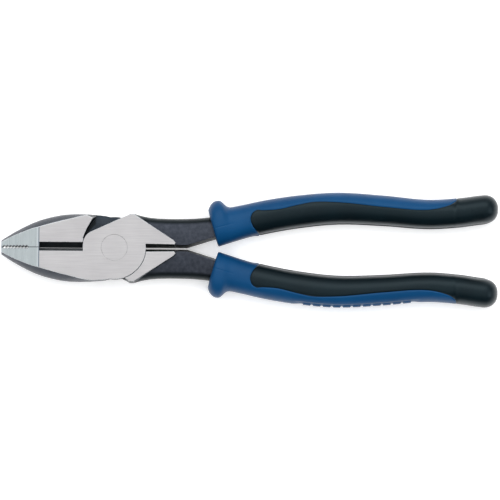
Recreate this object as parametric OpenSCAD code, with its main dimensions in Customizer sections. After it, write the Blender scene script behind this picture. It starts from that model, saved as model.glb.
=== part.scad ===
// Lineman pliers, closed, lying flat: jaws towards -X, handles towards +X, ground faces square to Z.
// The origin is on the rivet's axis, at the rear ground face of the joint.

/* [Overall] */
// Distance from the rivet's axis to the tip of the jaws
jaw_reach = 54.3; // [45:0.1:66]
// Distance from the rivet's axis to the end of the grips
handle_reach = 184; // [152:1:222]
// Thickness of the head across its two ground faces
head_t = 15.9; // [13.2:0.1:19.2]

/* [Jaws] */
// Widest half-width of the closed head, from the jaw line to the forged side
jaw_half_w = 16.3; // [15.6:0.1:19.6]
// Half-width of the closed jaws at their blunt tip
tip_half_w = 3.4; // [2.8:0.1:4.2]
// Thickness of the jaws at their tip
tip_t = 10; // [8:0.1:12.6]
// Length of the tapered nose, from the tip back to the knives
nose_len = 18.4; // [15.3:0.1:22.1]
// How far the forged side of a jaw bulges past its ground face
side_crown = 3.1; // [2.4:0.1:3.8]
// Width of a knife's bevel at the ground face on the side of the joint plate
bevel_plate_w = 1.7; // [1.4:0.1:2.1]
// Width of a knife's bevel at the ground face on the other side
bevel_back_w = 2.4; // [2:0.1:2.9]
// Depth of the steep upper wall of a knife's bevel
bevel_wall = 5.2; // [4.3:0.1:6.2]
// Gap between the closed jaws
jaw_gap = 0.1; // [0.06:0.01:0.2]
// Number of gripping teeth on each jaw
tooth_count = 8; // [5:1:9]
// Distance from one tooth to the next
tooth_pitch = 1.54; // [1.2:0.01:1.8]
// Depth of the teeth
tooth_depth = 0.6; // [0.5:0.05:0.7]
// How far the tips of the teeth stand back from the jaw line
tooth_land = 0.2; // [0.1:0.01:0.24]

/* [Joint] */
// Radius of each joint plate
disc_r = 15.1; // [14.8:0.1:18.2]
// Radial gap between a joint plate and the recess it turns in
disc_gap = 0.25; // [0.1:0.01:0.3]
// Gap between the two lapped plates
lap_gap = 0.06; // [0.04:0.01:0.1]
// Distance from the rivet's axis to the straight edge of a joint plate
chord_d = 11.55; // [11:0.05:12.2]
// Slope of that straight edge
chord_angle = 24.6; // [22:0.1:27]
// Radius of the corner between that straight edge and the round of the plate
plate_corner_r = 6.5; // [5.2:0.1:7.8]
// Diameter of the rivet's shank
rivet_d = 9; // [7.5:0.1:10.8]
// Diameter of the rivet's countersunk heads
rivet_head_d = 12.4; // [11.2:0.1:14.8]
// Depth of the rivet's countersunk heads
rivet_head_h = 2.2; // [1.8:0.1:2.7]
// Radial clearance between the rivet and the front half, which turns on it
rivet_run = 0.05; // [0.02:0.01:0.1]

/* [Shoulders and necks] */
// Distance from the rivet's axis to the rear tips of the ground shoulders
shoulder_reach = 29.4; // [27:0.1:33]
// Height of the shoulders' upper corner from the jaw line
shoulder_h = 16; // [15.7:0.1:16.6]
// How far the forged shoulder stands out past its ground face
shoulder_flank = 0.7; // [0.4:0.1:1]
// Width of the slot between the shoulders at the ground face
slot_w = 4.2; // [3.4:0.1:5]
// Width of the slot between the two halves at mid thickness
slot_gap = 0.7; // [0.5:0.05:0.9]
// Distance from the rivet's axis to where the necks start to part
neck_part = 35; // [32:0.5:38]
// Sideways rise of a neck's inner side for each millimetre of length
neck_rise = 0.32; // [0.28:0.01:0.34]
// Thickness of the forged necks
neck_t = 11.6; // [9.6:0.1:12.6]
// Width of the tang inside a grip
tang_w = 9; // [7.4:0.1:10.8]
// Thickness of the tang at its end
tang_end_t = 7; // [5.8:0.1:8.4]
// Length of grip that stands past the end of the tang
butt_len = 24; // [20:1:34]

/* [Grips] */
// Distance from the rivet's axis to the front of the grips, at their middle
grip_start = 47.2; // [46:0.1:52]
// Width of a grip behind its guard
grip_w = 16.8; // [15:0.1:19.8]
// Width of a grip at its end
grip_end_w = 13.9; // [12:0.1:16.6]
// Thickness of a grip, front to back
grip_t = 17.6; // [15.6:0.1:21]
// Length of the rounded end of a grip
grip_cap = 7.2; // [6:0.1:8.6]
// How far the guard flares out past the grip
guard_flare = 4.6; // [3.8:0.1:5.5]
// Half-length of the guard's lip
guard_lip = 3.6; // [3:0.1:4.3]
// Width of the blue rail along the outer side of a grip
rail_w = 5.8; // [4.8:0.1:7]
// Distance from the front of the grip to the nose of the black insert
insert_start = 18; // [15:0.5:21]
// Clearance all round between the tang and its socket
tang_fit = 0.05; // [0.02:0.01:0.1]

/* [Hidden] */

steel = "#c9c8c8";
dark_steel = "#8a8f96";
blue = "#104880";
black = "#1c2126";

round_fn = 96;
mid_z = head_t / 2;
past = 1;
nose_x = nose_len - jaw_reach;
chord_y = chord_d / cos(chord_angle);
corner_x = (shoulder_h - chord_y) / tan(chord_angle);
grip_len = handle_reach - grip_start;

// Shape of a jaw's forged side: [share of the way from tip to rivet, share of the full width]
jaw_side = [
    [0, 0], [0.07, 0.19], [0.15, 0.39], [0.32, 0.73], [0.52, 0.95], [0.66, 1],
    [0.73, 0.996], [0.8, 0.98], [0.87, 0.962], [0.92, 0.94], [0.963, 0.9], [1, 0.86]
];
// Shape of the crown along a jaw: [share of the way from tip to rivet, share of side_crown]
jaw_crown = [
    [0, 0.9], [0.15, 1.1], [0.3, 1.1], [0.43, 1.1], [0.56, 0.95],
    [0.64, 0.7], [0.73, 0.33], [0.79, 0.12], [0.9, 0.06], [1, 0.02]
];
// Outer side of a neck: [distance from the rivet's axis, distance from the jaw line]
neck_side = [
    [2, 12], [6, 15.6], [9, 16.6], [12, 15.9], [16, 15],
    [21, 14.5], [30, 14.35], [40, 14.7], [52, 16]
];
// Centre line of a grip: [share of the grip's length, distance from the jaw line]
grip_line = [
    [0, 9.4], [0.08, 12.3], [0.18, 15.6], [0.3, 18.4], [0.44, 20.1],
    [0.6, 19.2], [0.75, 17.65], [0.86, 18.5], [0.95, 20.1], [1, 20.2]
];
// Width of the blue rail: [share of the grip's length, share of rail_w]
rail_line = [
    [0.17, 0.84], [0.23, 1], [0.29, 0.86], [0.35, 0.72], [0.43, 0.84], [0.53, 0.97],
    [0.62, 1.02], [0.71, 0.97], [0.78, 0.82], [0.83, 0.54], [0.85, 0.24], [0.855, 0]
];
// Nose of the black insert: [share of the way from the inner to the outer side, setback from its tip]
insert_nose = [[0, 4.4], [0.07, 3.3], [0.28, 1.1], [0.5, 0], [0.64, 0.5], [0.71, 1.5], [0.745, 3]];

// Smooth curve through the knots k at x: each stretch is a cubic with matched slopes
function knot_slope(k, i) =
    let (a = max(i - 1, 0), b = min(i + 1, len(k) - 1))
    (k[b][1] - k[a][1]) / (k[b][0] - k[a][0]);
function stretch_of(k, x, i = 0) = (i >= len(k) - 2 || x <= k[i + 1][0]) ? i : stretch_of(k, x, i + 1);
function curve(k, x) =
    let (
        i = stretch_of(k, x),
        d = k[i + 1][0] - k[i][0],
        t = min(max((x - k[i][0]) / d, 0), 1),
        m0 = knot_slope(k, i) * d,
        m1 = knot_slope(k, i + 1) * d,
        y0 = k[i][1],
        y1 = k[i + 1][1]
    )
    y0 + t * (m0 + t * (3 * (y1 - y0) - 2 * m0 - m1 + t * (2 * (y0 - y1) + m0 + m1)));

function polar(r, a) = [r * cos(a), r * sin(a)];
function at_z(plan, z) = [for (p = plan) [p[0], p[1], z]];

// Solid through a list of closed rings from low to high X (or Z), each with the same count of points,
// which turn clockwise seen from +X (or +Z); the first point of an end ring sees all its others
module loft(rings) {
    n = len(rings[0]);
    last = len(rings) - 1;
    sides = [
        for (i = [0 : last - 1], j = [0 : n - 1])
            let (a = i * n + j, b = i * n + (j + 1) % n)
            each [[a, b, b + n], [a, b + n, a + n]]
    ];
    ends = [[for (j = [n : -1 : 1]) j % n], [for (j = [0 : n - 1]) last * n + j]];
    polyhedron(points = [for (ring = rings) each ring], faces = concat(sides, ends));
}

// ---- forged halves, drawn about mid thickness: the plate on the +Z side, the jaw below, the neck above

function jaw_outer(x) =
    let (t = 1 + x / jaw_reach)
    tip_half_w + (jaw_half_w - tip_half_w) * curve(jaw_side, t);
function jaw_half_t(x) = x < nose_x
    ? (tip_t + (head_t - tip_t) * (x + jaw_reach) / nose_len) / 2
    : mid_z;
function jaw_ring(x) =
    let (
        h = jaw_half_t(x),
        deep = side_crown * curve(jaw_crown, 1 + x / jaw_reach),
        steps = 5
    )
    concat(
        [[x, -jaw_gap / 2, -h]],
        [for (i = [-steps : steps]) [x, -jaw_outer(x) + deep * pow(h * i / steps / mid_z, 2), h * i / steps]],
        [[x, -jaw_gap / 2, h]]
    );

module jaw_blank() {
    nose_rings = 6;
    body_rings = 14;
    body_end = -2;
    loft(concat(
        [for (i = [0 : nose_rings - 1]) jaw_ring(-jaw_reach + nose_len * i / nose_rings)],
        [for (i = [0 : body_rings]) jaw_ring(nose_x + (body_end - nose_x) * i / body_rings)]
    ));
}

// Bevel on one face of a knife, which leaves its cutting edge at mid thickness
module knife_bevel(width) {
    translate([nose_x, -jaw_gap / 2, 0])
        rotate([90, 0, 90])
            linear_extrude(jaw_reach - nose_len)
                polygon([
                    [past, -past * 0.2],
                    [0, 0],
                    [-width * 0.76, mid_z - bevel_wall],
                    [-width, mid_z],
                    [-width, mid_z + past],
                    [past, mid_z + past]
                ]);
}

module knife_bevels() {
    knife_bevel(bevel_plate_w);
    mirror([0, 0, 1])
        knife_bevel(bevel_back_w);
}

// Row of gripping teeth, cut into the jaw line from the tip backwards
module tooth_cuts() {
    first = -jaw_reach + tooth_pitch / 2;
    valley = [
        [0, past], [0, -tooth_land], [tooth_pitch / 2, -tooth_land - tooth_depth],
        [tooth_pitch, -tooth_land], [tooth_pitch, past]
    ];
    for (i = [0 : tooth_count - 1])
        translate([first + tooth_pitch * i, -jaw_gap / 2, -mid_z])
            linear_extrude(head_t)
                polygon(valley);
}

function neck_inner(x) = x < shoulder_reach + 1
    ? slot_gap / 2 + 0.4
    : slot_gap / 2 + neck_rise * max(x - neck_part, 0);
function neck_ring(x, low, high, half_t, grow) =
    let (h = half_t + grow, a = low - grow, b = high + grow, draft = 1.2)
    [
        [x, a + draft, -h], [x, a, 0], [x, a + draft, h],
        [x, b - 3.4, h], [x, b - 2.3, 0.93 * h], [x, b - 1.4, 0.8 * h], [x, b - 0.7, 0.62 * h],
        [x, b - 0.2, 0.36 * h], [x, b, 0], [x, b - 0.2, -0.36 * h],
        [x, b - 0.7, -0.62 * h], [x, b - 1.4, -0.8 * h], [x, b - 2.3, -0.93 * h], [x, b - 3.4, -h]
    ];

// Forged neck and the tang that runs down inside the grip
module handle_blank(grow = 0) {
    neck_x = [2, 6, 8, 10, 12, 14, 17, 21, 26, 31, neck_part, 39, 43, 47];
    tang_steps = 12;
    tang_from = 0.1;
    tang_to = 1 - butt_len / grip_len;
    loft(concat(
        [for (x = neck_x) neck_ring(x, neck_inner(x), curve(neck_side, x), neck_t / 2, grow)],
        [
            for (i = [0 : tang_steps])
                let (
                    t = tang_from + (tang_to - tang_from) * i / tang_steps,
                    c = curve(grip_line, t),
                    taper = 1 - 0.3 * i / tang_steps,
                    half_w = tang_w / 2 * taper,
                    half_t = (neck_t + (tang_end_t - neck_t) * i / tang_steps) / 2,
                    end = i == tang_steps ? grow : 0
                )
                neck_ring(grip_start + grip_len * t + end, c - half_w, c + half_w, half_t, grow)
        ]
    ));
}

// Ground shoulder behind the joint, full head thickness, its flanks drafted out to mid thickness
module shoulder() {
    flat = 2.2;
    root = 3;
    root_y = shoulder_h - (corner_x - root) * 0.9;
    f = shoulder_flank;
    face = [
        [root, root_y], [corner_x, shoulder_h], [corner_x + flat, shoulder_h],
        [shoulder_reach - 1.3, slot_w / 2 + 1.8], [shoulder_reach, slot_w / 2 + 0.5],
        [shoulder_reach - 0.6, slot_w / 2 - 0.4], [root, slot_w / 2]
    ];
    waist = [
        [root, root_y], [corner_x, shoulder_h + f], [corner_x + flat + f / 2, shoulder_h + f],
        [shoulder_reach - 1.3 + f, slot_w / 2 + 1.8 + f], [shoulder_reach + f, slot_w / 2 + 0.5],
        [shoulder_reach, slot_gap / 2], [root, slot_gap / 2]
    ];
    loft([at_z(face, -mid_z), at_z(waist, 0), at_z(face, mid_z)]);
}

// Outline of a joint plate: a disc whose straight edge runs out to the shoulder's corner
function plate_outline() =
    let (
        inside = chord_d - plate_corner_r,
        lean = atan2(inside, -sqrt(pow(disc_r - plate_corner_r, 2) - pow(inside, 2))) + chord_angle,
        hub = polar(disc_r - plate_corner_r, lean),
        edge_x = corner_x + 1,
        edge_angle = acos(edge_x / disc_r),
        disc_steps = 72,
        corner_steps = 8
    )
    concat(
        [for (i = [0 : disc_steps]) polar(disc_r, edge_angle - (360 + edge_angle - lean) * i / disc_steps)],
        [
            for (i = [1 : corner_steps])
                hub + polar(plate_corner_r, lean + (90 + chord_angle - lean) * i / corner_steps)
        ],
        [[corner_x - 0.06, shoulder_h - 0.03], [edge_x, shoulder_h - 0.03]]
    );

// Joint plate on one side of the lap
module joint_plate() {
    translate([0, 0, lap_gap / 2])
        linear_extrude(mid_z - lap_gap / 2)
            polygon(plate_outline());
}

// Room for the other half's plate and shoulder, which turn past the step wall at the root of this jaw
module plate_recess() {
    far = [shoulder_reach + 5, -jaw_half_w - 4];
    root = [-disc_r / 2, -1];
    foot = polar(disc_r + 2.4, 241.4);
    top = polar(disc_r + 2.4, 233.1);
    foot_plan = [
        foot, polar(disc_r + 1, 225), polar(disc_r + 0.5, 209),
        root, [far[0], root[1]], far, [foot[0] + 0.4, far[1]]
    ];
    top_plan = [
        top, polar(disc_r + 1.1, 215.5), polar(disc_r + 0.8, 194.5),
        root, [far[0], root[1]], far, [top[0] - 15, far[1]]
    ];
    translate([0, 0, -mid_z - past])
        cylinder(r = disc_r + disc_gap, h = mid_z + past + lap_gap / 2, $fn = round_fn);
    loft([at_z(top_plan, -mid_z - past), at_z(foot_plan, lap_gap / 2)]);
}

// One forged half without its rivet hole
module forged_half() {
    difference() {
        union() {
            difference() {
                jaw_blank();
                knife_bevels();
                tooth_cuts();
            }
            shoulder();
            handle_blank();
        }
        plate_recess();
    }
    joint_plate();
}

// Shank and two countersunk heads, grown by the clearance of the hole they fill
module rivet_form(grow) {
    shank_r = rivet_d / 2 + grow;
    head_r = rivet_head_d / 2 + grow;
    rotate_extrude($fn = round_fn)
        polygon([
            [0, -mid_z], [head_r, -mid_z], [shank_r, rivet_head_h - mid_z],
            [shank_r, mid_z - rivet_head_h], [head_r, mid_z], [0, mid_z]
        ]);
}

module front_half() {
    color(steel)
        translate([0, 0, mid_z])
            difference() {
                forged_half();
                rivet_form(rivet_run);
            }
}

module rear_half() {
    color(steel)
        translate([0, 0, mid_z])
            difference() {
                rotate([180, 0, 0])
                    forged_half();
                rivet_form(0);
            }
}

module joint_rivet() {
    color(dark_steel)
        translate([0, 0, mid_z])
            rivet_form(0);
}

// ---- grips, drawn for the upper handle about mid thickness; the lower grip is the mirror image

function grip_half_w(x) =
    let (t = min(max((x - grip_start) / (0.75 * grip_len), 0), 1))
    (grip_w + (grip_end_w - grip_w) * t) / 2;
function grip_centre(x) = curve(grip_line, (x - grip_start) / grip_len);
function cap_share(x) =
    let (d = (x - handle_reach + grip_cap) / grip_cap, full = 2.3)
    d <= 0 ? 1 : pow(max(1 - pow(d, full), 0), 1 / full);
function guard_rise(x) = guard_flare * exp(-pow(abs(x - grip_start - 3.4) / guard_lip, 2.8));
function grip_outer(x) = grip_centre(x) + grip_half_w(x) * cap_share(x) + guard_rise(x);
function grip_inner(x) = grip_centre(x) - grip_half_w(x) * cap_share(x);
function grip_half_t(x) = (grip_t / 2 + guard_rise(x) / 4) * cap_share(x);

// Oval ring of the grip at x, pulled in by inset; the ring leans so that the guard faces the thumb
function grip_ring(x, inset = 0) =
    let (
        lean = 2.3 * max(1 - (x - grip_start) / 16, 0),
        low = grip_inner(x) + inset,
        high = grip_outer(x) - inset,
        c = (low + high) / 2,
        a = (high - low) / 2,
        b = grip_half_t(x) - inset,
        points = 28,
        full = 0.86
    )
    [
        for (i = [0 : points - 1])
            let (
                w = -360 * i / points,
                u = sign(cos(w)) * pow(abs(cos(w)), full),
                v = sign(sin(w)) * pow(abs(sin(w)), full)
            )
            [x - lean * u, c + a * u, b * v]
    ];

module grip_blank() {
    guard_x = [0.35, 0.9, 1.7, 2.7, 3.9, 5.2, 6.8, 8.8, 11.5, 15];
    body_rings = 20;
    body_from = grip_start + 19;
    body_to = handle_reach - grip_cap;
    rings = concat(
        [grip_ring(grip_start, 1.2)],
        [for (d = guard_x) grip_ring(grip_start + d, d < 0.5 ? 0.4 : 0)],
        [for (i = [0 : body_rings]) grip_ring(body_from + (body_to - body_from) * i / body_rings)],
        [for (a = [20, 38, 54, 67, 77, 84]) grip_ring(body_to + grip_cap * sin(a))]
    );
    loft(rings);
}

// Plan of the blue shell: all of the guard, then a rail along the outer side
module shell_plan() {
    nose = grip_start + insert_start;
    low = grip_inner(nose + 3);
    high = grip_outer(nose + 3);
    nose_steps = 14;
    nose_top = insert_nose[len(insert_nose) - 1][0];
    rail_steps = 40;
    rail_from = (insert_start + 6) / grip_len;
    rail_to = rail_line[len(rail_line) - 1][0];
    over = 40;
    polygon(concat(
        [[grip_start - 10, -past], [nose + insert_nose[0][1] + 1.5, -past]],
        [
            for (i = [0 : nose_steps])
                let (v = nose_top * i / nose_steps)
                [nose + curve(insert_nose, v), low + (high - low) * v]
        ],
        [
            for (i = [0 : rail_steps])
                let (t = rail_from + (rail_to - rail_from) * i / rail_steps, x = grip_start + grip_len * t)
                [x, grip_outer(x) - rail_w * curve(rail_line, t)]
        ],
        [[grip_start + grip_len * rail_to, over], [grip_start - 10, over]]
    ));
}

module grip_socketed() {
    difference() {
        grip_blank();
        handle_blank(tang_fit);
    }
}

module grip_shell() {
    intersection() {
        grip_socketed();
        translate([0, 0, -head_t])
            linear_extrude(2 * head_t)
                shell_plan();
    }
}

module grip_insert() {
    difference() {
        grip_socketed();
        translate([0, 0, -head_t])
            linear_extrude(2 * head_t)
                shell_plan();
    }
}

module upper_grip_shell() {
    color(blue)
        translate([0, 0, mid_z])
            grip_shell();
}

module upper_grip_insert() {
    color(black)
        translate([0, 0, mid_z])
            grip_insert();
}

module lower_grip_shell() {
    color(blue)
        translate([0, 0, mid_z])
            mirror([0, 1, 0])
                grip_shell();
}

module lower_grip_insert() {
    color(black)
        translate([0, 0, mid_z])
            mirror([0, 1, 0])
                grip_insert();
}

front_half();
rear_half();
joint_rivet();
upper_grip_shell();
upper_grip_insert();
lower_grip_shell();
lower_grip_insert();
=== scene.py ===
import math

import bmesh
import bpy
import numpy as np
from mathutils import Matrix, Vector


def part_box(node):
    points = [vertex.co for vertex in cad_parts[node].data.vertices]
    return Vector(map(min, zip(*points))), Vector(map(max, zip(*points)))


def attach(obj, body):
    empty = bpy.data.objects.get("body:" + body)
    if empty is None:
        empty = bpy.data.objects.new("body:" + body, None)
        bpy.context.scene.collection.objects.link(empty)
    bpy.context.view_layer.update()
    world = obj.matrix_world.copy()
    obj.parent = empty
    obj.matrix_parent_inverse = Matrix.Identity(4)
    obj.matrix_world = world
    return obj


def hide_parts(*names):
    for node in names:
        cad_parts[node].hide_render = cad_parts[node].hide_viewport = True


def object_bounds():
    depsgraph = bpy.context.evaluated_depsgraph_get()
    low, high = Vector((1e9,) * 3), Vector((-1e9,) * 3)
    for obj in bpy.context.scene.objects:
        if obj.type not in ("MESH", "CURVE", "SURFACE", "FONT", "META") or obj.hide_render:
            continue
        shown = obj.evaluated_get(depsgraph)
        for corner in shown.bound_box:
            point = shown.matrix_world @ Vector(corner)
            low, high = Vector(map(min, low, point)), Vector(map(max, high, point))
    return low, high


MM = 0.001

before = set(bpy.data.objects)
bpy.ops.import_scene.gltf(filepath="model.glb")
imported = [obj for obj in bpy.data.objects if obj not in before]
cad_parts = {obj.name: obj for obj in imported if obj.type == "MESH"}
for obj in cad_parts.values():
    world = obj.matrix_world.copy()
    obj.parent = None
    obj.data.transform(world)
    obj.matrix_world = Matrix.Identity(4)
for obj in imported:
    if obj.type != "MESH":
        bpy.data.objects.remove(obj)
cad_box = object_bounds()
face_lo, face_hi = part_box("joint_rivet")
MID_Z = (face_lo.z + face_hi.z) / 2
HEAD_T = face_hi.z - face_lo.z

# ------------------------------------------------------------------ sizes, in millimetres
# The grips' form repeats the one in the CAD, so these sizes are the part's own.
GRIP_START = 47.2
HANDLE_REACH = 184.0
GRIP_LEN = HANDLE_REACH - GRIP_START
GRIP_W = 16.8
GRIP_END_W = 13.9
GRIP_T = 17.6
GRIP_CAP = 7.2
GRIP_TAPER = 0.75
GUARD_FLARE = 4.6
GUARD_LIP = 3.6
GUARD_TOP = 3.4
GUARD_POWER = 2.8
LEAN = 2.3
LEAN_LEN = 16
RAIL_W = 5.8
NOSE_X = GRIP_START + 18.0
NOSE_LEN = 3.0
RING_POWER = 0.86
CAP_POWER = 2.3
SKIN_INSET = 0.04  # keeps the finer surface inside the CAD's box
GRIP_LINE = [
    (0, 9.4), (0.08, 12.3), (0.18, 15.6), (0.3, 18.4), (0.44, 20.1),
    (0.6, 19.2), (0.75, 17.65), (0.86, 18.5), (0.95, 20.1), (1, 20.2),
]
RAIL_LINE = [
    (0.17, 0.84), (0.23, 1), (0.29, 0.86), (0.35, 0.72), (0.43, 0.84), (0.53, 0.97),
    (0.62, 1.02), (0.71, 0.97), (0.78, 0.82), (0.83, 0.54), (0.85, 0.24), (0.855, 0),
]
INSERT_NOSE = [(0, 4.4), (0.07, 3.3), (0.28, 1.1), (0.5, 0), (0.64, 0.5), (0.71, 1.5), (0.745, 3)]
NOSE_TOP = INSERT_NOSE[-1][0]
RAIL_FROM = NOSE_X + 6.0
RAIL_END = GRIP_START + GRIP_LEN * RAIL_LINE[-1][0]


def curve(knots, x):
    """Smooth curve through the knots: cubic stretches with matched slopes."""
    k = np.array(knots, float)
    slope = np.empty(len(k))
    for i in range(len(k)):
        a, b = max(i - 1, 0), min(i + 1, len(k) - 1)
        slope[i] = (k[b, 1] - k[a, 1]) / (k[b, 0] - k[a, 0])
    x = np.asarray(x, float)
    i = np.clip(np.searchsorted(k[:, 0], x, side="right") - 1, 0, len(k) - 2)
    d = k[i + 1, 0] - k[i, 0]
    t = np.clip((x - k[i, 0]) / d, 0, 1)
    y0, y1, m0, m1 = k[i, 1], k[i + 1, 1], slope[i] * d, slope[i + 1] * d
    return y0 + t * (m0 + t * (3 * (y1 - y0) - 2 * m0 - m1 + t * (2 * (y0 - y1) + m0 + m1)))


def smooth(t):
    t = np.clip(t, 0, 1)
    return t * t * (3 - 2 * t)


# ------------------------------------------------------------------ grips
def half_w(x):
    t = np.clip((x - GRIP_START) / (GRIP_TAPER * GRIP_LEN), 0, 1)
    return (GRIP_W + (GRIP_END_W - GRIP_W) * t) / 2


def centre(x):
    return curve(GRIP_LINE, (x - GRIP_START) / GRIP_LEN)


def cap_share(x):
    d = np.clip((x - HANDLE_REACH + GRIP_CAP) / GRIP_CAP, 0, 1)
    return (1 - d ** CAP_POWER) ** (1 / CAP_POWER)


def guard_rise(x):
    return GUARD_FLARE * np.exp(-(np.abs(x - GRIP_START - GUARD_TOP) / GUARD_LIP) ** GUARD_POWER)


def grip_outer(x):
    return centre(x) + half_w(x) * cap_share(x) + guard_rise(x)


def grip_inner(x):
    return centre(x) - half_w(x) * cap_share(x)


def ring_uv(w, power=RING_POWER):
    """Point of a ring with squared-off sides, at ring angle w."""
    c, s = np.cos(w), np.sin(w)
    return np.sign(c) * np.abs(c) ** power, np.sign(s) * np.abs(s) ** power


def ring_angle(u):
    """Ring angle whose first coordinate is u."""
    return np.arccos(np.sign(u) * np.abs(u) ** (1 / RING_POWER))


def grip_point(x, w, inset=0.0):
    """Point of the upper grip's surface, at station x and ring angle w, which is 0 on the outer side."""
    u, v = ring_uv(w)
    lean = LEAN * np.clip(1 - (x - GRIP_START) / LEAN_LEN, 0, None)
    inset = inset + SKIN_INSET
    low = grip_inner(x) + inset * cap_share(x)
    high = grip_outer(x) - inset * cap_share(x)
    b = (GRIP_T / 2 + guard_rise(x) / 4 - inset) * cap_share(x)
    return np.stack([x - lean * u, (low + high) / 2 + (high - low) / 2 * u, b * v], -1)


def seam_angle(x):
    """Ring angle of the line between the blue rail and the black insert."""
    x = np.asarray(x, float)
    low, high = grip_inner(x), grip_outer(x)
    t = (x - GRIP_START) / GRIP_LEN
    rail = (high - RAIL_W * curve(RAIL_LINE, np.clip(t, RAIL_LINE[0][0], 1)) - low) / (high - low)
    blend = smooth((x - NOSE_X - NOSE_LEN) / (RAIL_FROM - NOSE_X - NOSE_LEN))
    share = NOSE_TOP * (1 - blend) + rail * blend
    u = np.clip(2 * share - 1, -1, 1)
    u = np.where(x >= RAIL_END, 1.0, u)
    return ring_angle(u)


def insert_angle(x, q):
    """Ring angle of column q, which runs from 0 at the rail's seam to 1 at the middle of the inner side."""
    return seam_angle(x) + (math.pi - seam_angle(x)) * q


def nose_start(q):
    """Station where column q of the insert begins."""
    x = np.full_like(q, NOSE_X + 2.0)  # first guess, then closed in on
    for _ in range(12):
        w = insert_angle(x, q)
        share = (ring_uv(w)[0] + 1) / 2
        x = NOSE_X + curve(INSERT_NOSE, np.clip(share, 0, NOSE_TOP))
    return x


def spread(near, total, step, far=()):
    """Stations from 0 to total: dense at 0 as near says, dense at total as far says, even between."""
    a = [d for d in near if d < total]
    b = [total - d for d in far if d < total]
    low, high = a[-1], (b[-1] if b else total)
    n = max(int(math.ceil((high - low) / step)), 1)
    mid = [low + (high - low) * i / n for i in range(1, n)]
    return np.array(a + mid + sorted(b if b else [total]))


FINE = (0, 0.1, 0.2, 0.32, 0.46, 0.62, 0.82, 1.1, 1.5, 2.0)
RIDGE = (0, 0.25, 0.45, 0.6, 0.75, 0.9, 1.1, 1.4, 1.9)
BY_CREASE = (-0.6, -0.4, -0.25, -0.12, 0, 0.12, 0.25, 0.4, 0.6)
INNER_ARC = 17.5
INNER_STEP = 0.75
OUTER_ARC = 8.0
OUTER_STEP = 0.45
CREASE_Q = 0.2235


def inner_columns():
    """Columns from the rail's seam (0) to the middle of the inner side (1)."""
    q = list(spread(FINE, INNER_ARC, INNER_STEP, RIDGE) / INNER_ARC)
    crease = [CREASE_Q + d / INNER_ARC for d in BY_CREASE]
    q = [v for v in q if abs(v - CREASE_Q) > INNER_STEP / INNER_ARC]
    return np.array(sorted(q + crease))


def outer_columns():
    """Columns from the middle of the outer side (0) to the rail's seam (1)."""
    return 1 - spread(FINE, OUTER_ARC, OUTER_STEP)[::-1] / OUTER_ARC


def seam_line():
    """The line between blue and black, as points on both faces of the grip."""
    q = np.linspace(0, 1, 160)
    x = nose_start(q)
    nose = grip_point(x, insert_angle(x, q))
    x = NOSE_X + NOSE_LEN + (RAIL_END - NOSE_X - NOSE_LEN) * (1 - (1 - np.linspace(0, 1, 420)) ** 1.6)
    rail = grip_point(x, seam_angle(x))
    line = np.concatenate([nose, rail])
    return np.concatenate([line, line * [1, 1, -1]])


SEAM = seam_line()
GROOVE_DEPTH = 0.26
GROOVE_HALF = 0.62
INNER_R, OUTER_R = 8.5, 8.0  # millimetres of surface to one radian of ring angle
CREASE_DEPTH, CREASE_HALF = 0.16, 0.2
CREASE_TO, CREASE_FADE = 54, 5
BEAD_HEIGHT, BEAD_HALF, BEAD_SIDE = 0.32, 0.45, 0.3
BEAD_FROM, BEAD_TO = 66, 176
PAD_FROM, PAD_TO, PAD_COUNT = 90.0, 143.0, 11
PAD_SINK = 0.55
PAD_FADE = 5
PAD_EDGE = 0.4


def distance_to_seam(points):
    best = np.full(len(points), 1e9)
    for i in range(0, len(SEAM), 64):
        d = np.linalg.norm(points[:, None, :] - SEAM[None, i:i + 64, :], axis=2)
        best = np.minimum(best, d.min(1))
    return best


def crease_angle(x):
    """Ring angle of the crease, which follows the grip's centre line over the top of the guard."""
    low, high = grip_inner(x), grip_outer(x)
    u = (2 * centre(x) - low - high) / (high - low)
    return ring_angle(u)


def column_angles(x, q):
    """Ring angles of the inner columns; in the guard one column is drawn over to the crease."""
    seam = seam_angle(x)
    w = seam + (math.pi - seam) * q
    shift = crease_angle(x) - (seam + (math.pi - seam) * CREASE_Q)
    share = np.where(q < CREASE_Q, q / CREASE_Q, (1 - q) / (1 - CREASE_Q))
    return w + shift * share * (1 - smooth((x - 57.5) / 4))


def relief(points, x, w, lower):
    """How far each point moves along its outward normal, in millimetres."""
    d = distance_to_seam(points)
    out = -GROOVE_DEPTH * (1 - smooth(d / GROOVE_HALF))
    # crease along the top of the guard, fading out towards the insert
    off = np.abs(w - crease_angle(x)) * INNER_R
    fade = (1 - smooth((x - CREASE_TO) / CREASE_FADE)) * smooth((x - GRIP_START) / 1.5)
    out -= CREASE_DEPTH * np.exp(-(off / CREASE_HALF) ** 2) * fade * (np.sin(w) > 0)
    # parting bead along the inner side
    off = np.abs(w - math.pi) * INNER_R
    fade = smooth((x - BEAD_FROM) / 3) * (1 - smooth((x - BEAD_TO) / 5))
    out += BEAD_HEIGHT * (1 - smooth((off - BEAD_HALF) / BEAD_SIDE)) * fade
    if lower:
        out += pads(x, w)
    return out


def pads(x, w):
    """Plain raised pads along the outer side: the rail sinks between and round them."""
    pitch = (PAD_TO - PAD_FROM) / PAD_COUNT
    band = smooth((x - PAD_FROM + PAD_FADE) / PAD_FADE) * (1 - smooth((x - PAD_TO) / PAD_FADE))
    off = np.abs(w) * OUTER_R
    band = band * (1 - smooth((off - 3.6) / 1.6))
    phase = np.mod(x - PAD_FROM, pitch)
    pad = smooth((phase - 0.35) / PAD_EDGE) * (1 - smooth((phase - pitch + 0.75) / PAD_EDGE))
    pad = pad * (x > PAD_FROM) * (x < PAD_TO) * (1 - smooth((off - 2.3) / PAD_EDGE))
    return -PAD_SINK * band * (1 - pad)


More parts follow.
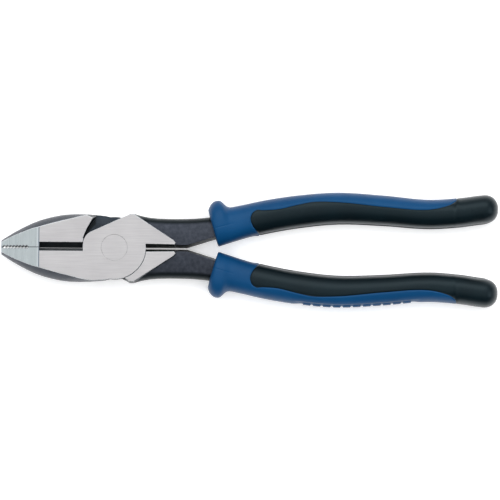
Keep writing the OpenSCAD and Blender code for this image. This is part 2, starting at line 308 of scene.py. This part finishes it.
def grid_faces(rows, cols):
    i, j = np.meshgrid(np.arange(rows - 1), np.arange(cols - 1), indexing="ij")
    a = (i * cols + j).ravel()
    return np.stack([a, a + 1, a + cols + 1, a + cols], 1)


class Sheet:
    """Collects grids of surface points and makes one welded mesh of them."""

    def __init__(self):
        self.points, self.faces, self.count = [], [], 0

    def add(self, grid):
        rows, cols = grid.shape[:2]
        self.points.append(grid.reshape(-1, 3))
        self.faces.append(grid_faces(rows, cols) + self.count)
        self.count += rows * cols

    def mesh(self, name):
        weld = 0.004 * MM
        data = bpy.data.meshes.new(name)
        data.from_pydata((np.concatenate(self.points) * MM).tolist(), [],
                         np.concatenate(self.faces).tolist())
        bm = bmesh.new()
        bm.from_mesh(data)
        bmesh.ops.remove_doubles(bm, verts=bm.verts, dist=weld)
        bmesh.ops.dissolve_degenerate(bm, edges=bm.edges, dist=weld)
        bmesh.ops.recalc_face_normals(bm, faces=bm.faces)
        top = max(bm.faces, key=lambda f: f.calc_center_median().z)
        if top.normal.z < 0:
            bmesh.ops.reverse_faces(bm, faces=bm.faces)
        for f in bm.faces:
            f.smooth = True
        bm.to_mesh(data)
        bm.free()
        return data


def surface(x, w, lower, inset=0.0):
    """Grid of points with their relief, for both faces of the grip; arrays x and w give the +Z face."""
    p = grip_point(x, w, inset)
    dw, dx = 0.004, 0.02
    across = grip_point(x, w + dw, inset) - grip_point(x, w - dw, inset)
    along = grip_point(x + dx, w, inset) - grip_point(x - dx, w, inset)
    n = np.cross(across, along)
    length = np.linalg.norm(n, axis=-1, keepdims=True)
    n = n / np.where(length > 1e-12, length, 1)
    # outward means away from the middle of the ring
    mid = np.stack([x, centre(x), np.zeros_like(x)], -1)
    n = n * np.sign(np.sum(n * (p - mid), -1, keepdims=True) + 1e-12)
    flat = relief(p.reshape(-1, 3), x.ravel(), w.ravel(), lower).reshape(x.shape)
    flat = np.where(x > HANDLE_REACH - 0.4, 0, flat)
    return p + n * flat[..., None]


def place(grid, side, lower):
    """side flips the grid to the rear face; lower mirrors the whole grip."""
    g = grid.copy()
    g[..., 2] *= side
    if lower:
        g[..., 1] *= -1
    g[..., 2] += MID_Z / MM
    return g


def blend_rows(fixed, starts, ends, shares):
    """Rows at the fixed stations, then rows that run from starts to ends column by column."""
    first = np.repeat(np.array(fixed)[:, None], len(ends), 1)
    rest = starts + (ends - starts)[None, :] * np.array(shares)[1:, None]
    return np.concatenate([first, rest])


FRONT_ROWS = (
    0.0, 0.12, 0.35, 0.62, 0.95, 1.3, 1.7, 2.1, 2.6, 3.1, 3.6, 4.1,
    4.6, 5.1, 5.6, 6.1, 6.7, 7.4, 8.2, 9.1, 10.1, 11.2, 12.4, 13.6,
)
LIP_INSET = (1.1, 0.72, 0.36, 0.14, 0.03)  # rounds the guard's front edge, row by row
NECK_MIDDLE, NECK_HALF_W, NECK_HALF_T = 9.7, 4.9, 5.2
BUTT_ANGLES = (8, 16, 24, 32, 40, 47, 54, 60, 66, 71, 75.5, 79.5, 82.5)
BODY_ROWS = 84
WALL_T = 0.9


def rail_stations(lower):
    """Stations of the rail past the nose, close together where the pads are and at the rail's end."""
    rail_x = [NOSE_X + NOSE_LEN]
    while rail_x[-1] < RAIL_END - 0.05:
        x = rail_x[-1]
        step = 0.2 if lower and PAD_FROM - 7 < x < PAD_TO + 6 else 0.9
        rail_x.append(x + min(step, max((RAIL_END - x) * 0.22, 0.04)))
    return np.array(rail_x[1:] + [RAIL_END])


def guard_wall(w_row, lip):
    """Front wall of the guard, from its lip in to the neck and a little way along it."""
    u, v = ring_uv(w_row, 0.6)
    foot = np.stack([GRIP_START - LEAN * u * 0.62, NECK_MIDDLE + NECK_HALF_W * u, NECK_HALF_T * v], -1)
    return np.stack([lip + (foot - lip) * t for t in (0, 0.08, 0.4, 1.0)] + [foot + [1.6, 0, 0]])


def shell_grids(lower):
    """Blue shell: guard and sleeve, rail, and the guard's front wall."""
    q = inner_columns()
    p = outer_columns()
    front = GRIP_START + np.array(FRONT_ROWS)
    run = NOSE_X + NOSE_LEN - front[-1]
    shares = np.unique(1 - spread(FINE[:9], run, 0.5) / run)
    rows_a = blend_rows(front, front[-1], nose_start(q), shares)
    w_a = column_angles(rows_a, q[None, :])
    stations = np.concatenate([rows_a[:, 0], rail_stations(lower)])
    rows_b = np.repeat(stations[:, None], len(p), 1)
    w_b = seam_angle(rows_b) * p[None, :]
    grids = []
    for rows, w in ((rows_a, w_a), (rows_b, w_b)):
        inset = np.zeros((len(rows), 1))
        inset[:len(LIP_INSET), 0] = LIP_INSET
        grids.append(surface(rows, w, lower, inset))
    return grids + [guard_wall(w_a[0], grids[0][0]), guard_wall(w_b[0], grids[1][0])]


def insert_grids(lower):
    """Black insert: from its nose to the butt, closed in the middle of the end."""
    q = inner_columns()
    start = nose_start(q)
    body_from = GRIP_START + 34
    body_to = HANDLE_REACH - GRIP_CAP
    run = body_from - (NOSE_X + NOSE_LEN)
    near = spread(FINE[:9], run, 1.0) / run
    fixed = [body_from + (body_to - body_from) * i / BODY_ROWS for i in range(1, BODY_ROWS + 1)]
    fixed += [body_to + GRIP_CAP * math.sin(math.radians(a)) for a in BUTT_ANGLES]
    nose_rows = start[None, :] + (body_from - start)[None, :] * near[:, None]
    rows_c = np.concatenate([nose_rows, np.repeat(np.array(fixed)[:, None], len(q), 1)])
    grid = surface(rows_c, insert_angle(rows_c, q[None, :]), lower)
    tip = np.array([HANDLE_REACH - 0.045, centre(HANDLE_REACH), 0.0])
    closing = [grid[-1] * (1 - k) + tip * k for k in (0.35, 1.0)]
    closing[0][:, 0] = tip[0] - 0.008
    return [np.concatenate([grid, np.stack(closing)])]


def grip_piece(name, colour, node, grids, lower, body, look):
    sheet = Sheet()
    for side in (1, -1):
        for grid in grids:
            sheet.add(place(grid, side, lower))
    obj = bpy.data.objects.new(f"{name}_{colour}", sheet.mesh(f"{name}_{colour}"))
    bpy.context.scene.collection.objects.link(obj)
    shell = obj.modifiers.new("wall", "SOLIDIFY")
    shell.thickness = WALL_T * MM
    shell.offset = -1
    shell.use_even_offset = False
    obj.data.materials.append(look)
    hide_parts(node)
    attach(obj, body)


# ------------------------------------------------------------------ materials
def material(name):
    m = bpy.data.materials.new(name)
    m.use_nodes = True
    tree = m.node_tree
    for n in list(tree.nodes):
        tree.nodes.remove(n)
    out = tree.nodes.new("ShaderNodeOutputMaterial")
    bsdf = tree.nodes.new("ShaderNodeBsdfPrincipled")
    tree.links.new(bsdf.outputs[0], out.inputs[0])
    return m, tree, bsdf


class Graph:
    """Short forms for the nodes that the materials share."""

    def __init__(self, tree):
        self.tree = tree
        self.coord = self.node("ShaderNodeTexCoord").outputs["Object"]
        split = self.node("ShaderNodeSeparateXYZ", {0: self.coord})
        self.x, self.y, self.z = split.outputs

    def node(self, kind, inputs=None, **props):
        n = self.tree.nodes.new(kind)
        for k, v in props.items():
            setattr(n, k, v)
        for k, v in (inputs or {}).items():
            if isinstance(v, bpy.types.NodeSocket):
                self.tree.links.new(v, n.inputs[k])
            else:
                n.inputs[k].default_value = v
        return n

    def link(self, a, b):
        self.tree.links.new(a, b)

    def math(self, op, a, b=0.0):
        return self.node("ShaderNodeMath", {0: a, 1: b}, operation=op).outputs[0]

    def reach_squared(self):
        """Square of the distance from the rivet's axis."""
        return self.math("ADD", self.math("MULTIPLY", self.x, self.x), self.math("MULTIPLY", self.y, self.y))

    def scaled(self, sx, sy, sz, turn=0.0):
        return self.node("ShaderNodeMapping", {0: self.coord, 2: (0, 0, turn), 3: (sx, sy, sz)}).outputs[0]

    def noise(self, scale, detail, rough, vector=None):
        inputs = {"Vector": vector or self.coord, "Scale": scale, "Detail": detail, "Roughness": rough}
        return self.node("ShaderNodeTexNoise", inputs).outputs[0]

    def voronoi(self, scale, kind="F1"):
        inputs = {"Vector": self.coord, "Scale": scale, "Randomness": 1.0}
        return self.node("ShaderNodeTexVoronoi", inputs, feature=kind).outputs[0]

    def ramp(self, fac, low, high, to_low=0.0, to_high=1.0):
        n = self.node("ShaderNodeMapRange", {0: fac, 1: low, 2: high, 3: to_low, 4: to_high})
        n.clamp = True
        return n.outputs[0]

    def mix(self, fac, a, b):
        n = self.node("ShaderNodeMix", data_type="RGBA")
        for key, v in ((0, fac), (6, a), (7, b)):
            if isinstance(v, bpy.types.NodeSocket):
                self.tree.links.new(v, n.inputs[key])
            elif key == 0:
                n.inputs[key].default_value = v
            else:
                n.inputs[key].default_value = (*v, 1)
        return n.outputs[2]

    def bump(self, height, distance, strength):
        inputs = {"Height": height, "Distance": distance, "Strength": strength}
        return self.node("ShaderNodeBump", inputs).outputs[0]


# Where the nose begins and where the knives end, in metres; both repeat the CAD's sizes.
TAPER_X = -35.9 * MM
TROUGH_END = -14.5 * MM


def ground_steel():
    m, tree, bsdf = material("ground_steel")
    g = Graph(tree)
    streak = g.noise(1.0, 4, 0.6, g.scaled(70, 2600, 70, math.radians(-6)))
    fine = g.noise(1.0, 2, 0.5, g.scaled(160, 7000, 160, math.radians(-6)))
    blotch = g.noise(55, 3, 0.55)
    tone = g.math("ADD", g.math("MULTIPLY", streak, 0.6), g.math("MULTIPLY", blotch, 0.4))
    col = g.mix(g.ramp(tone, 0.36, 0.64), (0.54, 0.526, 0.53), (0.65, 0.637, 0.637))
    bsdf.inputs["Metallic"].default_value = 1.0
    g.link(col, bsdf.inputs["Base Color"])
    g.link(g.ramp(fine, 0.3, 0.7, 0.30, 0.42), bsdf.inputs["Roughness"])
    g.link(g.bump(g.math("ADD", streak, fine), 0.000004, 0.6), bsdf.inputs["Normal"])
    return m


def nose_steel():
    m, tree, bsdf = material("nose_steel")
    g = Graph(tree)
    streak = g.noise(1.0, 4, 0.65, g.scaled(2400, 55, 55))
    fine = g.noise(1.0, 2, 0.5, g.scaled(7000, 130, 130))
    band = g.noise(1.0, 2, 0.5, g.scaled(420, 12, 12))
    tone = g.math("ADD", g.math("MULTIPLY", streak, 0.5), g.math("MULTIPLY", band, 0.5))
    col = g.mix(g.ramp(tone, 0.3, 0.7), (0.44, 0.49, 0.50), (0.58, 0.63, 0.635))
    # painted highlight: a paler band on the nose just before the line where it begins, then a painted shade
    # line along that line
    nose_highlight_band = g.ramp(g.x, TAPER_X - 0.0014, TAPER_X - 0.0011)
    nose_shade_line = g.ramp(g.x, TAPER_X - 0.00052, TAPER_X - 0.00032)
    col = g.mix(nose_highlight_band, col, (0.60, 0.645, 0.66))
    col = g.mix(nose_shade_line, col, (0.13, 0.17, 0.22))
    bsdf.inputs["Metallic"].default_value = 1.0
    g.link(col, bsdf.inputs["Base Color"])
    g.link(g.ramp(fine, 0.3, 0.7, 0.26, 0.40), bsdf.inputs["Roughness"])
    g.link(g.bump(g.math("ADD", streak, fine), 0.000006, 0.7), bsdf.inputs["Normal"])
    return m


def edge_steel():
    """Broken edges, with painted light: a painted glint round the ground faces, painted shade along the jaw
    line and where the nose begins.
    """
    m, tree, bsdf = material("edge_steel")
    g = Graph(tree)
    wear = g.noise(900, 3, 0.6)
    near_face = g.ramp(g.math("ABSOLUTE", g.math("SUBTRACT", g.z, MID_Z)), 0.0074, 0.0076)
    # painted shade (near black) and painted glint (near white) for the edges; shine picks where the glint
    # goes
    edge_shade = g.mix(wear, (0.07, 0.08, 0.1), (0.14, 0.15, 0.18))
    edge_glint = g.mix(wear, (0.66, 0.70, 0.72), (0.85, 0.89, 0.9))
    nose = g.ramp(g.x, TAPER_X - 0.0004, TAPER_X, 1, 0)
    jaw_line = g.math("MULTIPLY", g.ramp(g.math("ABSOLUTE", g.y), 0.0009, 0.0011, 1, 0), nose)
    shine = g.math("MULTIPLY", g.math("MAXIMUM", near_face, nose), g.math("SUBTRACT", 1.0, jaw_line))
    at_rivet = g.ramp(g.reach_squared(), 0.0075 ** 2, 0.0078 ** 2, 1, 0)
    col = g.mix(at_rivet, g.mix(shine, edge_shade, edge_glint), (0.42, 0.41, 0.415))
    g.link(col, bsdf.inputs["Base Color"])
    bsdf.inputs["Metallic"].default_value = 1.0
    g.link(g.ramp(wear, 0.3, 0.7, 0.22, 0.36), bsdf.inputs["Roughness"])
    return m


def forged_steel():
    m, tree, bsdf = material("forged_steel")
    g = Graph(tree)
    scale = g.noise(900, 4, 0.6)
    blotch = g.noise(120, 4, 0.6)
    grain = g.voronoi(2600)
    side = g.mix(blotch, (0.032, 0.037, 0.047), (0.072, 0.079, 0.095))
    mottle = g.noise(520, 4, 0.6)
    neck = g.mix(g.ramp(mottle, 0.3, 0.7), (0.026, 0.031, 0.042), (0.050, 0.057, 0.074))
    # painted shade: the neck's faces that turn towards ±Y are darkened nearly to black
    normal = g.node("ShaderNodeSeparateXYZ", {0: g.node("ShaderNodeTexCoord").outputs["Normal"]}).outputs[1]
    neck_side_shade = g.ramp(g.math("ABSOLUTE", normal), 0.18, 0.62)
    neck = g.mix(neck_side_shade, neck, (0.004, 0.009, 0.012))
    col = g.mix(g.ramp(g.x, -0.004, 0.006), side, neck)
    g.link(col, bsdf.inputs["Base Color"])
    bsdf.inputs["Metallic"].default_value = 0.75
    g.link(g.ramp(scale, 0.3, 0.7, 0.36, 0.52), bsdf.inputs["Roughness"])
    rough = g.math("ADD", g.math("MULTIPLY", scale, 0.7), g.math("MULTIPLY", grain, 0.3))
    g.link(g.bump(rough, 0.00009, 0.7), bsdf.inputs["Normal"])
    return m


def cut_steel(name, low, high, corner_shade_from=None):
    """Surface left by a cutter, with painted shade in the corner further than the given reach from the
    rivet's axis.
    """
    m, tree, bsdf = material(name)
    g = Graph(tree)
    streak = g.noise(1.0, 4, 0.6, g.scaled(90, 2200, 2200))
    spots = g.noise(420, 3, 0.6)
    tone = g.math("ADD", g.math("MULTIPLY", streak, 0.6), g.math("MULTIPLY", spots, 0.4))
    col = g.mix(g.ramp(tone, 0.35, 0.68), low, high)
    # painted shade: the recess goes near black far from the rivet's axis, in its corner by the step wall
    if corner_shade_from:
        reach = g.math("ADD", g.math("SQRT", g.reach_squared()), g.math("MULTIPLY", spots, 0.0008))
        near = g.math("MULTIPLY", g.ramp(reach, corner_shade_from, corner_shade_from + 0.0004),
                      g.ramp(g.x, -0.0086, -0.0094))
        col = g.mix(near, col, (0.003, 0.008, 0.01))
    g.link(col, bsdf.inputs["Base Color"])
    bsdf.inputs["Metallic"].default_value = 0.55
    g.link(g.ramp(streak, 0.3, 0.7, 0.34, 0.5), bsdf.inputs["Roughness"])
    g.link(g.bump(streak, 0.00002, 0.6), bsdf.inputs["Normal"])
    return m


def grip_material(name, low, high, rough, sparkle_highlight, shine):
    m, tree, bsdf = material(name)
    g = Graph(tree)
    pebble = g.voronoi(1900, "SMOOTH_F1")
    grain = g.noise(3800, 2, 0.5)
    blotch = g.noise(60, 3, 0.55)
    height = g.math("ADD", g.math("MULTIPLY", pebble, 0.7), g.math("MULTIPLY", grain, 0.3))
    col = g.mix(g.ramp(blotch, 0.35, 0.65), low, high)
    # painted highlight: pale flecks where the grain is high stand in for the pebble's sparkle
    col = g.mix(g.ramp(grain, 0.52, 0.7, 0, sparkle_highlight), col, tuple(min(v * 1.8 + 0.004, 1) for v in high))
    g.link(col, bsdf.inputs["Base Color"])
    g.link(g.ramp(grain, 0.3, 0.7, rough - 0.07, rough + 0.07), bsdf.inputs["Roughness"])
    g.link(g.bump(height, 0.00007, 0.55), bsdf.inputs["Normal"])
    bsdf.inputs["Specular IOR Level"].default_value = shine
    bsdf.inputs["Specular Tint"].default_value = (0.72, 0.92, 1.0, 1)
    return m


GROUND = ground_steel()
NOSE = nose_steel()
EDGE = edge_steel()
FORGED = forged_steel()
# painted light: one bevel steel in a copy with painted shade and a copy with painted light
BEVEL_SHADED = cut_steel("bevel_painted_shade", (0.012, 0.016, 0.018), (0.04, 0.046, 0.05))
BEVEL_LIT = cut_steel("bevel_painted_light", (0.16, 0.175, 0.185), (0.46, 0.48, 0.50))
# recess steel with painted shade in its corner by the step wall, from 14.8 mm out
RECESS = cut_steel("recess_steel", (0.018, 0.026, 0.036), (0.042, 0.055, 0.07), 0.0148)
# painted shade: near-black steel for the step walls round the joint
STEP_WALL_SHADE = cut_steel("step_wall_shade", (0.003, 0.008, 0.01), (0.008, 0.014, 0.017))
BLUE = grip_material(
    "blue_grip", (0.0012, 0.041, 0.122), (0.0018, 0.049, 0.142), rough=0.42, sparkle_highlight=0.1, shine=0.22)
BLACK = grip_material(
    "black_grip", (0.0003, 0.0032, 0.0052), (0.0006, 0.005, 0.0075), rough=0.34, sparkle_highlight=0.1, shine=0.3)


# ------------------------------------------------------------------ forged halves and rivet
def surface_kind(c, n, bevel):
    """Material of a forged half's face, from where it lies and which way it looks."""
    h = abs(c.z - MID_Z)
    reach = math.hypot(c.x, c.y)
    if abs(n.z) > 0.9 and h > HEAD_T / 2 - 0.05 * MM:
        return GROUND
    if 0.95 < abs(n.z) < 0.9999 and c.x < TAPER_X and h > 4 * MM:
        return NOSE
    if TAPER_X < c.x < TROUGH_END and abs(c.y) < 2.6 * MM and abs(n.z) < 0.9:
        return bevel
    # the jaw line along the nose gets the bevel steel with painted shade
    if c.x < TAPER_X and abs(c.y) < 0.9 * MM:
        return BEVEL_SHADED
    if abs(n.z) > 0.99 and h < 0.5 * MM:
        return RECESS
    # step walls by the joint get the near-black steel of painted shade
    if -15.5 * MM < c.x < -3 * MM and 14.9 * MM < reach < 20 * MM:
        if n.x * c.x + n.y * c.y < -0.3 * reach or n.x > 0.3:
            return STEP_WALL_SHADE
    return FORGED


def smooth_shading():
    """Nodes that drop the imported normals and shade smooth, so that the CAD's own mesh isn't changed."""
    tree = bpy.data.node_groups.new("smooth_shading", "GeometryNodeTree")
    for way in ("INPUT", "OUTPUT"):
        tree.interface.new_socket("Geometry", in_out=way, socket_type="NodeSocketGeometry")
    start = tree.nodes.new("NodeGroupInput")
    drop = tree.nodes.new("GeometryNodeRemoveAttribute")
    drop.inputs["Name"].default_value = "custom_normal"
    shade = tree.nodes.new("GeometryNodeSetShadeSmooth")
    end = tree.nodes.new("NodeGroupOutput")
    for a, b in ((start, drop), (drop, shade), (shade, end)):
        tree.links.new(a.outputs[0], b.inputs[0])
    return tree


SMOOTH_SHADING = smooth_shading()


def dress_half(obj, bevel_material):
    mesh = obj.data
    kinds = (GROUND, NOSE, EDGE, FORGED, BEVEL_SHADED, BEVEL_LIT, RECESS, STEP_WALL_SHADE)
    mesh.materials.clear()
    for kind in kinds:
        mesh.materials.append(kind)
    for f in mesh.polygons:
        f.material_index = kinds.index(surface_kind(f.center, f.normal, bevel_material))
    shading = obj.modifiers.new("shading", "NODES")
    shading.node_group = SMOOTH_SHADING
    weld = obj.modifiers.new("weld", "WELD")
    weld.merge_threshold = 0.002 * MM
    flat = obj.modifiers.new("flat", "DECIMATE")
    flat.decimate_type = "DISSOLVE"
    flat.angle_limit = math.radians(0.6)
    flat.delimit = {"MATERIAL"}
    bevel = obj.modifiers.new("edges", "BEVEL")
    bevel.width = 0.12 * MM
    bevel.segments = 2
    bevel.limit_method = "ANGLE"
    bevel.angle_limit = math.radians(26)
    bevel.harden_normals = True
    bevel.material = kinds.index(EDGE)
    bevel.use_clamp_overlap = False


# the front half's knife bevels get the copy with painted light, the rear half's the copy with painted shade
dress_half(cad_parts["front_half"], BEVEL_LIT)
dress_half(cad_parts["rear_half"], BEVEL_SHADED)

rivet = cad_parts["joint_rivet"]
rivet.data.materials.clear()
rivet.data.materials.append(GROUND)

for name, body in (("upper_grip", "front_lever"), ("lower_grip", "rear_lever")):
    lower = name == "lower_grip"
    grip_piece(name, "blue", f"{name}_shell", shell_grids(lower), lower, body, BLUE)
    grip_piece(name, "black", f"{name}_insert", insert_grids(lower), lower, body, BLACK)


# ------------------------------------------------------------------ floor, light, camera
TARGET = Vector((65.05 * MM, -0.26 * MM, MID_Z))
FLOOR_HALF = 4.0
FLOOR_GLOW = 0.33  # with the wash lamp, keeps the ground white with almost no shadow


def paper():
    look, tree, bsdf = material("floor_paper")
    g = Graph(tree)
    tone = g.mix(g.noise(30, 2, 0.5), (0.86, 0.86, 0.86), (0.88, 0.88, 0.88))
    g.link(tone, bsdf.inputs["Base Color"])
    bsdf.inputs["Roughness"].default_value = 0.9
    bsdf.inputs["Specular IOR Level"].default_value = 0.2
    bsdf.inputs["Emission Color"].default_value = (1, 1, 1, 1)
    bsdf.inputs["Emission Strength"].default_value = FLOOR_GLOW
    return look


def add_floor(z):
    corners = [(FLOOR_HALF * sx, FLOOR_HALF * sy, z) for sx, sy in ((-1, -1), (1, -1), (1, 1), (-1, 1))]
    mesh = bpy.data.meshes.new("floor")
    mesh.from_pydata(corners, [], [(0, 1, 2, 3)])
    mesh.materials.append(paper())
    floor = bpy.data.objects.new("floor", mesh)
    bpy.context.scene.collection.objects.link(floor)


def area_light(name, place, size_x, size_y, power, colour=(1, 1, 1)):
    data = bpy.data.lights.new(name, "AREA")
    data.shape = "RECTANGLE"
    data.size, data.size_y = size_x, size_y
    data.energy = power
    data.color = colour
    lamp = bpy.data.objects.new(name, data)
    lamp.location = place
    lamp.rotation_euler = (TARGET - Vector(place)).to_track_quat("-Z", "Y").to_euler()
    bpy.context.scene.collection.objects.link(lamp)
    return lamp


def add_lights():
    area_light("softbox", (0.05, 0.9, 1.4), 1.8, 1.1, 8)
    area_light("fill", (-1.1, -0.1, 0.9), 0.8, 0.8, 1.6, (0.85, 0.93, 1.0))
    area_light("side", (1.2, -0.2, 0.7), 0.7, 0.7, 2.4, (0.9, 0.95, 1.0))
    # the wash lights the ground from above and leaves no reflection on the tool
    wash = area_light("wash", (0.065, 0.0, 3.0), 3.0, 3.0, 68)
    wash.data.specular_factor = 0
    wash.visible_glossy = False


def add_world():
    """Sky that is pale towards SKY_TOP and dark away from it, and plain white behind the tool."""
    world = bpy.data.worlds.new("studio")
    bpy.context.scene.world = world
    world.use_nodes = True
    tree = world.node_tree
    for n in list(tree.nodes):
        tree.nodes.remove(n)
    out = tree.nodes.new("ShaderNodeOutputWorld")
    sky = tree.nodes.new("ShaderNodeBackground")
    tree.links.new(sky.outputs[0], out.inputs[0])
    sky.inputs[0].default_value = (0.97, 0.98, 1.0, 1)
    coord = tree.nodes.new("ShaderNodeTexCoord")
    dot = tree.nodes.new("ShaderNodeVectorMath")
    dot.operation = "DOT_PRODUCT"
    dot.inputs[1].default_value = SKY_TOP
    tree.links.new(coord.outputs["Generated"], dot.inputs[0])
    lift = tree.nodes.new("ShaderNodeMapRange")
    for socket, value in zip((1, 2, 3, 4), SKY_RAMP):
        lift.inputs[socket].default_value = value
    tree.links.new(dot.outputs["Value"], lift.inputs[0])
    path = tree.nodes.new("ShaderNodeLightPath")
    strength = tree.nodes.new("ShaderNodeMath")
    strength.operation = "MAXIMUM"
    tree.links.new(lift.outputs[0], strength.inputs[0])
    tree.links.new(path.outputs["Is Camera Ray"], strength.inputs[1])
    tree.links.new(strength.outputs[0], sky.inputs[1])


def add_camera():
    right = Vector((1, 0, 0))
    up = Vector((0, math.sin(CAMERA_EL), math.cos(CAMERA_EL)))
    back = right.cross(up)
    rolled_right = right * math.cos(ROLL) + up * math.sin(ROLL)
    rolled_up = up * math.cos(ROLL) - right * math.sin(ROLL)
    data = bpy.data.cameras.new("camera")
    data.sensor_width = SENSOR
    data.lens = SENSOR * DISTANCE / WIDTH
    data.clip_end = 20
    camera = bpy.data.objects.new("camera", data)
    turn = Matrix((rolled_right, rolled_up, back)).transposed().to_4x4()
    camera.matrix_world = Matrix.Translation(TARGET + back * DISTANCE) @ turn
    bpy.context.scene.collection.objects.link(camera)
    bpy.context.scene.camera = camera


SKY_TOP = (0, 0.45, 0.89)
SKY_RAMP = (0.25, 0.95, 0.16, 0.95)
CAMERA_EL = math.radians(87.0)
ROLL = math.radians(0.465)
SENSOR = 36
DISTANCE = 3.8
WIDTH = 240 * MM

add_floor(cad_box[0][2])
add_lights()
add_world()
add_camera()
bpy.context.scene.view_settings.view_transform = "Standard"
